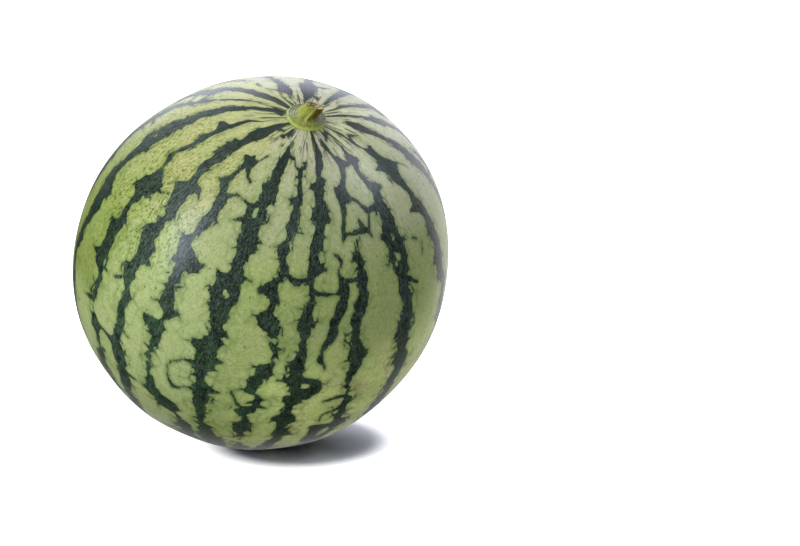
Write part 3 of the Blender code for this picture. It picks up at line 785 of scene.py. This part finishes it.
FLOOR_TONES = {
    "seen": (222, 222, 226), "light_seen": (228, 228, 232), "bounce": (204, 204, 204),
    "light_bounce": (210, 210, 210), "shade": (146, 148, 152),
}


def colour(red, green, blue):
    """A display colour, 0 to 255, as the shader's own."""
    parts = [part / 255 for part in (red, green, blue)]
    parts = [part / 12.92 if part <= 0.04045 else ((part + 0.055) / 1.055) ** 2.4 for part in parts]
    return (*parts, 1)


class Nodes:
    """The nodes of a material, a group or the surroundings, made one after another."""

    def __init__(self, tree, tones=None):
        self.tree = tree
        self.tones = {name: colour(*tone) for name, tone in (tones or {}).items()}

    def feed(self, socket, value):
        """Sets a socket to a value, or joins it up with one that varies."""
        if isinstance(value, bpy.types.NodeSocket):
            self.tree.links.new(value, socket)
        else:
            socket.default_value = value

    def put(self, kind, inputs=None, **settings):
        """A new node with its settings and inputs."""
        node = self.tree.nodes.new(kind)
        for name, value in settings.items():
            setattr(node, name, value)
        for name, value in (inputs or {}).items():
            self.feed(node.inputs[name], value)
        return node

    def attribute(self, name, output="Fac"):
        """A layer of the mesh's own."""
        return self.put("ShaderNodeAttribute", attribute_name=name).outputs[output]

    def metres(self):
        """The place on the piece, in metres."""
        return self.put("ShaderNodeTexCoord").outputs["Object"]

    def parts(self, place):
        """A place's three numbers."""
        return self.put("ShaderNodeSeparateXYZ", {"Vector": place}).outputs

    def calc(self, operation, *values):
        """One sum on numbers."""
        node = self.put("ShaderNodeMath", operation=operation)
        for socket, value in zip(node.inputs, values):
            self.feed(socket, value)
        return node.outputs["Value"]

    def times(self, first, *others):
        """Numbers multiplied."""
        for other in others:
            first = self.calc("MULTIPLY", first, other)
        return first

    def plus(self, first, *others):
        """Numbers added up."""
        for other in others:
            first = self.calc("ADD", first, other)
        return first

    def about(self, value, middle, amount):
        """A number's distance from a middle, times an amount."""
        return self.times(self.calc("SUBTRACT", value, middle), amount)

    def step(self, value, low, high):
        """0 at low, 1 at high, an even S between."""
        inputs = {"Value": value, "From Min": low, "From Max": high}
        return self.put("ShaderNodeMapRange", inputs, interpolation_type="SMOOTHSTEP").outputs["Result"]

    def mixed(self, share, first, second):
        """Two colours mixed."""
        node = self.put("ShaderNodeMix", data_type="RGBA")
        for socket, value in ((node.inputs[0], share), (node.inputs[6], first), (node.inputs[7], second)):
            self.feed(socket, value)
        return node.outputs[2]

    def between(self, share, first, second):
        """Two of the tones mixed."""
        return self.mixed(share, self.tones[first], self.tones[second])

    def over(self, under, tone, *shares):
        """A colour with one of the tones laid over it, by the product of the shares."""
        return self.mixed(self.times(*shares), under, self.tones[tone])

    def blend(self, share, first, second):
        """Two numbers mixed."""
        return self.put("ShaderNodeMix", {0: share, 2: first, 3: second}).outputs[0]

    def cloud(self, place, scale, detail=3, rough=0.5):
        """Cloudy noise about a half."""
        inputs = {"Vector": place, "Scale": scale, "Detail": detail, "Roughness": rough}
        return self.put("ShaderNodeTexNoise", inputs).outputs["Fac"]

    def patches(self, place, scale, detail, rough, low, high):
        """Patches where cloudy noise is high: 0 up to low, 1 from high."""
        return self.step(self.cloud(place, scale, detail, rough), low, high)

    def cells(self, place, scale, feature="F1"):
        """Cells: how far off the middle, or the edge, of the nearest one is."""
        inputs = {"Vector": place, "Scale": scale}
        return self.put("ShaderNodeTexVoronoi", inputs, feature=feature).outputs["Distance"]

    def stretched(self, place, across, along):
        """A place with its first two numbers and its third stretched."""
        inputs = {0: place, 1: (across, across, along)}
        return self.put("ShaderNodeVectorMath", inputs, operation="MULTIPLY").outputs["Vector"]

    def warped(self, place, scale, amount):
        """A place pushed about by noise."""
        inputs = {"Vector": place, "Scale": scale, "Detail": 2}
        noisy = self.put("ShaderNodeTexNoise", inputs).outputs["Color"]
        centred = self.put("ShaderNodeVectorMath", {0: noisy, 1: (0.5, 0.5, 0.5)}, operation="SUBTRACT")
        sized = self.put("ShaderNodeVectorMath", {0: centred.outputs["Vector"]}, operation="SCALE")
        sized.inputs["Scale"].default_value = amount
        inputs = {0: place, 1: sized.outputs["Vector"]}
        return self.put("ShaderNodeVectorMath", inputs, operation="ADD").outputs["Vector"]

    def away(self, place, middle):
        """How far a place is from a middle."""
        node = self.put("ShaderNodeVectorMath", {0: place, 1: middle}, operation="DISTANCE")
        return node.outputs["Value"]

    def notches(self, place, edge, scale, depth, taper):
        """Dark points along the cells' borders that start at a stripe's edge and taper off beside it."""
        border = self.times(self.cells(place, scale, "DISTANCE_TO_EDGE"), 1 / scale)
        reach = self.about(self.cloud(place, 0.6 * scale, 2), 0.46, 9 * depth)
        wedge = self.times(self.plus(edge, self.calc("MINIMUM", reach, depth)), taper)
        return self.calc("SUBTRACT", wedge, border)

    def use(self, group, output, **inputs):
        """A group's output."""
        node = self.put("ShaderNodeGroup", node_tree=group)
        for name, value in inputs.items():
            self.feed(node.inputs[name], value)
        return node.outputs[output]


def group_of(name, inputs, output, build):
    """A named group of nodes with its own inputs and one output, a number."""
    tree = bpy.data.node_groups.new(name, "ShaderNodeTree")
    for label, kind, value in inputs:
        socket = tree.interface.new_socket(name=label, in_out="INPUT", socket_type=kind)
        if value is not None:
            socket.default_value = value
    tree.interface.new_socket(name=output, in_out="OUTPUT", socket_type="NodeSocketFloat")
    entry = tree.nodes.new("NodeGroupInput")
    leave = tree.nodes.new("NodeGroupOutput")
    tree.links.new(build(Nodes(tree), entry.outputs), leave.inputs[output])
    return tree


def build_specks(nodes, given):
    """Small scattered dots: each cell has one or none."""
    cell = nodes.put("ShaderNodeTexVoronoi", {"Vector": given["Place"], "Scale": given["Scale"]}).outputs
    picked = nodes.put("ShaderNodeSeparateColor", {"Color": cell["Color"]}).outputs["Red"]
    has = nodes.calc("LESS_THAN", picked, given["Share"])
    return nodes.times(has, nodes.step(cell["Distance"], 0.34, 0.14))


def build_grain(nodes, given):
    """A fine uneven surface: pores and slight ripples."""
    fine = nodes.cloud(given["Place"], given["Scale"], 5, 0.6)
    pores = nodes.step(nodes.cells(given["Place"], given["Scale"], "SMOOTH_F1"), 0, 0.5)
    return nodes.plus(fine, nodes.times(pores, 0.5))


def make_groups():
    """The effects that more than one material uses."""
    place = [("Place", "NodeSocketVector", None), ("Scale", "NodeSocketFloat", 1)]
    share = [("Share", "NodeSocketFloat", 0.3)]
    specks = group_of("specks", place + share, "Mask", build_specks)
    grain = group_of("grain", place, "Height", build_grain)
    return {"specks": specks, "grain": grain}


def new_material(name, tones):
    """(material, its nodes, its shader), with nothing else in it."""
    material = bpy.data.materials.new(name)
    material.use_nodes = True
    tree = material.node_tree
    tree.nodes.clear()
    shader = tree.nodes.new("ShaderNodeBsdfPrincipled")
    leave = tree.nodes.new("ShaderNodeOutputMaterial")
    tree.links.new(shader.outputs["BSDF"], leave.inputs["Surface"])
    return material, Nodes(tree, tones), shader


def roughen(nodes, shader, grain, place, scale, depth, strength):
    """The fine grain as bumps on a shader's surface."""
    height = nodes.use(grain, "Height", Place=place, Scale=scale)
    bump = nodes.put("ShaderNodeBump", {"Height": height, "Distance": depth, "Strength": strength})
    nodes.feed(shader.inputs["Normal"], bump.outputs["Normal"])


def skin_places(nodes):
    """What the rind's layers are placed by: the skin laid out flat, its regions, and metres."""
    growth = nodes.attribute("growth", "Vector")
    parts = nodes.parts(growth)
    east, angle = parts["X"], parts["Z"]
    west = nodes.step(east, -18, -46)
    band = nodes.times(nodes.step(angle, 20, 32), nodes.step(angle, 78, 60))
    often = nodes.times(west, band, nodes.patches(growth, 0.2, 2, 0.5, 0.32, 0.52))
    return types.SimpleNamespace(
        growth=growth,
        moved=nodes.warped(growth, 0.3, 1.2),
        metres=nodes.metres(),
        east=east,
        angle=angle,
        west=west,
        left=nodes.times(nodes.step(east, -43, -53), nodes.step(angle, 30, 86), nodes.step(angle, 98, 86)),
        freckled=nodes.plus(nodes.times(often, 0.85), 0.08),
    )


def stripe_edges(nodes, at):
    """(where the skin is dark, how near the pale skin is to it)."""
    # Round bays of light skin, ragged and toothed near the stem
    bays = nodes.about(nodes.cells(at.moved, 0.34), 0.5, 1.9)
    small = nodes.about(nodes.cells(at.moved, 0.8), 0.5, 0.5)
    ragged = nodes.about(nodes.cloud(at.growth, 2.4, 4, 0.6), 0.5, 0.6)
    teeth = nodes.patches(nodes.stretched(at.growth, 0.8, 2.8), 1, 2, 0.5, 0.56, 0.76)
    teeth = nodes.times(teeth, nodes.plus(nodes.step(at.angle, 66, 40), 0.1), 0.36)
    fine = nodes.plus(small, ragged)
    edge = nodes.plus(nodes.attribute("stripe"), bays, nodes.plus(fine, teeth))
    edge = nodes.calc("SUBTRACT", edge, 0.15)

    # Dark points that reach in between the bays, and the veins
    notch = nodes.notches(at.moved, edge, 0.27, 2.2, 0.26)
    vein = nodes.plus(nodes.attribute("vein"), nodes.times(fine, 0.42))
    edge = nodes.calc("MAXIMUM", nodes.calc("MAXIMUM", edge, vein), notch)
    return nodes.step(edge, -0.2, 0.22), nodes.step(edge, -1.5, 0.1)


def pale_skin(nodes, at, fringe):
    """The skin between the stripes: broad tones first, among them painted bounce light low down and a
    painted whitish haze on the upper right, then mottling, grain, net and freckles.
    """
    pale = nodes.between(nodes.step(at.angle, 8, 34), "by_stem", "shoulder")
    pale = nodes.over(pale, "tan", at.west, nodes.step(at.angle, 68, 40), 0.8)
    pale = nodes.over(pale, "flank", nodes.step(at.angle, 42, 62))
    pale = nodes.over(pale, "moss", nodes.step(at.east, -22, -6), nodes.step(at.angle, 36, 56), 0.6)
    # Painted bounce light: the lower right skin is painted lighter, with warm patches, as if lit from below
    low = nodes.times(nodes.step(at.east, -10, 10), nodes.step(at.angle, 64, 92))
    pale = nodes.over(pale, "low", low)
    pale = nodes.over(pale, "warm_bounce", nodes.patches(at.growth, 0.11, 2, 0.5, 0.46, 0.6), low, 0.5)
    # Painted reflection: the upper right skin is painted whiter, as a haze of sheen
    pale = nodes.over(pale, "right", nodes.step(at.east, 32, 48), nodes.step(at.angle, 52, 40), 0.8)
    pale = nodes.over(pale, "left", at.left, 0.9)
    pale = nodes.over(pale, "broad", nodes.patches(at.growth, 0.09, 3, 0.5, 0.4, 0.62), 0.3)
    pale = nodes.over(pale, "blotch", nodes.patches(at.metres, 300, 4, 0.62, 0.42, 0.66), 0.13)
    pale = nodes.over(pale, "light", nodes.patches(at.metres, 620, 4, 0.75, 0.42, 0.7), 0.28)
    coarse = nodes.patches(at.metres, 130, 3, 0.6, 0.36, 0.64)
    grains = nodes.patches(at.metres, 1200, 3, 0.7, 0.5, 0.72)
    pale = nodes.over(pale, "grain", grains, nodes.plus(nodes.times(coarse, 0.24), 0.3))
    net = nodes.step(nodes.cells(at.moved, 0.55, "DISTANCE_TO_EDGE"), 0.09, 0)
    pale = nodes.over(pale, "net", net, 0.22)
    pale = nodes.over(pale, "fringe", fringe, 0.5)
    freckles = nodes.patches(nodes.stretched(at.moved, 1, 0.85), 1.05, 2, 0.7, 0.53, 0.6)
    return nodes.over(pale, "freckle", freckles, at.freckled)


def dark_skin(nodes, at):
    """The stripes' skin: murky, greener low down, with paler wisps that are partly painted sheen, grit and
    light flecks.
    """
    deep = nodes.between(nodes.patches(at.metres, 300, 4, 0.65, 0.36, 0.66), "darkest", "dark")
    fresh = nodes.patches(at.growth, 0.35, 3, 0.5, 0.38, 0.62)
    deep = nodes.over(deep, "fresh", fresh, nodes.step(at.angle, 56, 82), 0.6)
    # The paler wisps are partly real and partly painted sheen: they are laid on more strongly on the left
    # and right sides, where the lamps' sheen falls
    wisps_and_sheen = nodes.patches(nodes.stretched(at.moved, 1.2, 0.4), 1, 4, 0.65, 0.46, 0.64)
    sides = nodes.calc("MAXIMUM", at.west, nodes.step(at.east, 22, 44))
    deep = nodes.over(deep, "wisp_and_sheen", wisps_and_sheen, nodes.plus(nodes.times(sides, 0.3), 0.26))
    grit = nodes.patches(nodes.stretched(at.moved, 2, 1.2), 1, 3, 0.75, 0.49, 0.63)
    deep = nodes.over(deep, "grit", grit, 0.78)
    deep = nodes.over(deep, "fleck", nodes.patches(at.growth, 1.1, 3, 0.55, 0.66, 0.72), 0.6)
    deep = nodes.over(deep, "dark_left", at.left, 0.55)
    return nodes.over(deep, "dark_by_stem", nodes.step(at.angle, 36, 18), 0.5)


def stem_and_blossom(nodes, at, skin):
    """The skin with hairlines that run out from the stalk, and the corky scar at the blossom end."""
    radial = nodes.cloud(nodes.stretched(at.moved, 0.13, 0.035), 1, 2, 0.5)
    ridge = nodes.calc("ABSOLUTE", nodes.calc("SUBTRACT", radial, 0.5))
    broken = nodes.cloud(nodes.stretched(at.growth, 0.22, 0.3), 1, 2)
    broken = nodes.step(nodes.plus(broken, nodes.times(nodes.step(at.angle, 13, 7), 0.1)), 0.44, 0.54)
    hair = nodes.times(nodes.step(ridge, 0.07, 0.03), broken, nodes.step(at.angle, 22, 10))
    skin = nodes.over(skin, "hairline", hair, 0.92)
    scar = nodes.plus(at.angle, nodes.times(nodes.cloud(at.metres, 420, 3), 2.4))
    skin = nodes.over(skin, "cork", nodes.step(scar, 175.2, 176.6))
    return nodes.over(skin, "old_cork", nodes.step(scar, 177.6, 179))


def rind_material(groups):
    """Pale yellow-green skin with dark blue-green stripes, waxy."""
    material, nodes, shader = new_material("rind", RIND_TONES)
    at = skin_places(nodes)
    dark, fringe = stripe_edges(nodes, at)
    skin = nodes.mixed(dark, pale_skin(nodes, at, fringe), dark_skin(nodes, at))
    spots = nodes.use(
        groups["specks"], "Mask", Place=nodes.stretched(at.moved, 1, 0.7), Scale=0.8,
        Share=nodes.plus(nodes.times(at.freckled, 0.3), 0.05),
    )
    skin = nodes.over(skin, "speck", spots, 0.7)
    nodes.feed(shader.inputs["Base Color"], stem_and_blossom(nodes, at, skin))
    shine = nodes.plus(0.28, nodes.times(nodes.cloud(at.metres, 400, 3), 0.12))
    nodes.feed(shader.inputs["Roughness"], shine)
    shader.inputs["IOR"].default_value = 1.5
    shader.inputs["Specular IOR Level"].default_value = 0.42
    roughen(nodes, shader, groups["grain"], at.metres, 900, 0.06 * MM, 0.5)
    return material


def stalk_material(groups):
    """Green, fibrous and drying stalk, brown on one side of the cut."""
    material, nodes, shader = new_material("stalk", STALK_TONES)
    growth = nodes.attribute("growth", "Vector")
    place = nodes.attribute("place")
    lengthwise = nodes.stretched(growth, 1, 0.12)
    strands = nodes.patches(lengthwise, 1.6, 5, 0.6, 0.36, 0.64)
    hairs = nodes.patches(lengthwise, 4.5, 3, 0.6, 0.4, 0.62)
    parts = nodes.parts(growth)

    # The stub's green skin and the collar's paler one, lime in front and at the rim
    green = nodes.over(nodes.between(strands, "green", "light_green"), "hair", hairs, 0.4)
    disc = nodes.over(nodes.between(strands, "disc", "light_disc"), "disc_hair", hairs, 0.6)
    front = nodes.step(parts["Y"], -0.5, -4.2)
    disc = nodes.mixed(nodes.times(front, 0.85), disc, nodes.between(strands, "lime", "light_lime"))
    skin = nodes.mixed(nodes.step(place, 1.75, 2.25), green, disc)
    rim = nodes.times(nodes.step(place, 2.7, 3), nodes.step(place, 3.3, 3.12))
    skin = nodes.over(skin, "rim", rim, nodes.plus(nodes.times(front, 0.5), 0.3))

    # The brown stain on the right, and the cut, with painted shade in its sunken middle
    right = nodes.plus(parts["X"], nodes.about(strands, 0.5, 1.8))
    stain = nodes.times(nodes.step(right, 0.1, 2.2), nodes.step(place, 2.4, 1.8), 0.9)
    skin = nodes.mixed(stain, skin, nodes.between(hairs, "rust", "light_rust"))
    flesh = nodes.between(hairs, "flesh", "light_flesh")
    # Painted shade: the cut's sunken middle is painted dark brown
    flesh = nodes.over(flesh, "hollow_shade", nodes.step(place, 0.75, 0.35), 0.6)
    skin = nodes.mixed(nodes.step(place, 1.04, 0.9), skin, flesh)
    spots = nodes.use(groups["specks"], "Mask", Place=growth, Scale=1.4, Share=0.18)
    nodes.feed(shader.inputs["Base Color"], nodes.over(skin, "speck", spots, 0.5))
    shader.inputs["Roughness"].default_value = 0.55
    shader.inputs["IOR"].default_value = 1.42
    roughen(nodes, shader, groups["grain"], lengthwise, 2.6, 0.15 * MM, 0.7)
    return material


def fibre_material(groups):
    """Dry pale fibre."""
    material, nodes, shader = new_material("dry_fibre", FIBRE_TONES)
    metres = nodes.metres()
    pale = nodes.between(nodes.patches(metres, 900, 4, 0.6, 0.36, 0.64), "fibre", "light_fibre")
    spots = nodes.use(groups["specks"], "Mask", Place=metres, Scale=1800, Share=0.25)
    nodes.feed(shader.inputs["Base Color"], nodes.over(pale, "speck", spots, 0.5))
    shader.inputs["Roughness"].default_value = 0.75
    roughen(nodes, shader, groups["grain"], metres, 2200, 0.05 * MM, 0.6)
    return material


def floor_material():
    """Pale matt paper with the slightest unevenness. It glows white to the camera outside the contact shadow
    and is painted darker at the shadow's deepest part.
    """
    material, nodes, shader = new_material("floor", FLOOR_TONES)
    metres = nodes.metres()
    mottle = nodes.cloud(metres, 3, 2)
    seen = nodes.between(mottle, "seen", "light_seen")
    # Painted shadow: the floor is painted darker round the contact shadow's deepest part
    seen = nodes.over(seen, "shade", nodes.step(nodes.away(metres, SHADOW_DEEPEST), *SHADE_REACH))
    looks_at = nodes.put("ShaderNodeLightPath").outputs["Is Camera Ray"]
    skin = nodes.mixed(looks_at, nodes.between(mottle, "bounce", "light_bounce"), seen)
    nodes.feed(shader.inputs["Base Color"], skin)
    shader.inputs["Roughness"].default_value = 0.6
    shader.inputs["Emission Color"].default_value = (1, 1, 1, 1)
    # Painted light: outside the contact shadow the floor glows white to the camera, which gives the shadow
    # its edge
    open_floor = nodes.step(nodes.away(metres, SHADOW_MIDDLE), *SHADOW_REACH)
    nodes.feed(shader.inputs["Emission Strength"], nodes.times(open_floor, looks_at))
    return material


# The stage

def make_floor():
    """A wide pale floor."""
    bpy.ops.object.select_all(action="DESELECT")
    bpy.ops.mesh.primitive_plane_add(size=24, location=(0, 0, 0))
    floor = bpy.context.object
    floor.name = "floor"
    floor.data.name = "floor"
    floor.visible_glossy = False
    floor.data.materials.append(floor_material())


def make_surroundings():
    """White surroundings, dim in front, bright behind, and plain white to the camera."""
    world = bpy.data.worlds.new("surroundings")
    world.use_nodes = True
    nodes = Nodes(world.node_tree)
    way = nodes.parts(nodes.put("ShaderNodeTexCoord").outputs["Generated"])
    right = nodes.step(way["X"], -0.2, 0.3)
    raised = nodes.step(way["Z"], 0, 0.3)
    low = nodes.blend(nodes.step(way["Z"], -0.5, -0.2), BELOW, nodes.blend(right, *LOW_BEHIND))
    behind = nodes.blend(raised, low, nodes.blend(right, *HIGH_BEHIND))
    behind = nodes.times(behind, nodes.step(way["Y"], 0.4, 0.8), nodes.step(way["X"], -0.65, -0.2))
    above = nodes.blend(nodes.step(way["Z"], 0.6, 0.85), behind, OVERHEAD)
    looks_at = nodes.put("ShaderNodeLightPath").outputs["Is Camera Ray"]
    tinted = nodes.times(raised, nodes.calc("SUBTRACT", 1, looks_at))
    background = world.node_tree.nodes["Background"].inputs
    nodes.feed(background["Color"], nodes.mixed(tinted, (1, 1, 1, 1), HIGH_TINT))
    nodes.feed(background["Strength"], nodes.blend(looks_at, above, TO_CAMERA))
    bpy.context.scene.world = world


def make_lights():
    """The surroundings and the soft lamps, each of which faces the fruit."""
    make_surroundings()
    for name, place, size, power, tint, shows in LAMPS:
        lamp = bpy.data.lights.new(name, "AREA")
        lamp.shape = "RECTANGLE"
        lamp.size = size[0]
        lamp.size_y = size[1]
        lamp.energy = power
        lamp.color = tint
        holder = bpy.data.objects.new(name, lamp)
        bpy.context.scene.collection.objects.link(holder)
        holder.location = place
        holder.visible_glossy = shows
        aim = FRUIT_CENTRE - Vector(place)
        holder.rotation_euler = aim.to_track_quat("-Z", "Y").to_euler()


def make_camera():
    """The first view: from the front and a little above, with the fruit left of the middle."""
    lens = bpy.data.cameras.new("camera")
    lens.lens = CAMERA_LENS
    lens.sensor_width = CAMERA_SENSOR
    lens.clip_start = 0.05
    lens.clip_end = 60
    camera = bpy.data.objects.new("camera", lens)
    bpy.context.scene.collection.objects.link(camera)
    across = CENTRE_ACROSS * CAMERA_SENSOR / CAMERA_LENS
    up = CENTRE_UP * CAMERA_SENSOR / CAMERA_LENS
    slant = math.sqrt(across * across + up * up + 1)
    pitch = -math.asin(slant * math.sin(CAMERA_HEIGHT) / math.sqrt(1 + up * up)) - math.atan(up)
    yaw = math.atan2(across, -up * math.sin(pitch) + math.cos(pitch))
    back = Vector((0, -math.cos(CAMERA_HEIGHT), math.sin(CAMERA_HEIGHT)))
    place = Matrix.Translation(FRUIT_CENTRE + back * CAMERA_DISTANCE)
    turn = Matrix.Rotation(yaw, 4, "Z") @ Matrix.Rotation(math.pi / 2 + pitch, 4, "X")
    camera.matrix_world = place @ turn
    bpy.context.scene.camera = camera
    bpy.context.scene.view_settings.view_transform = "Standard"


def dress(piece, material):
    """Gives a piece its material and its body."""
    piece.data.materials.clear()
    piece.data.materials.append(material)
    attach(piece, "root")


groups = make_groups()
rind = make_rind()
stalk = make_stalk(rind)
fibres = make_fibres(rind)
dress(rind, rind_material(groups))
dress(stalk, stalk_material(groups))
dress(fibres, fibre_material(groups))
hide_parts("fruit")
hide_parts("stalk")
make_floor()
make_lights()
make_camera()
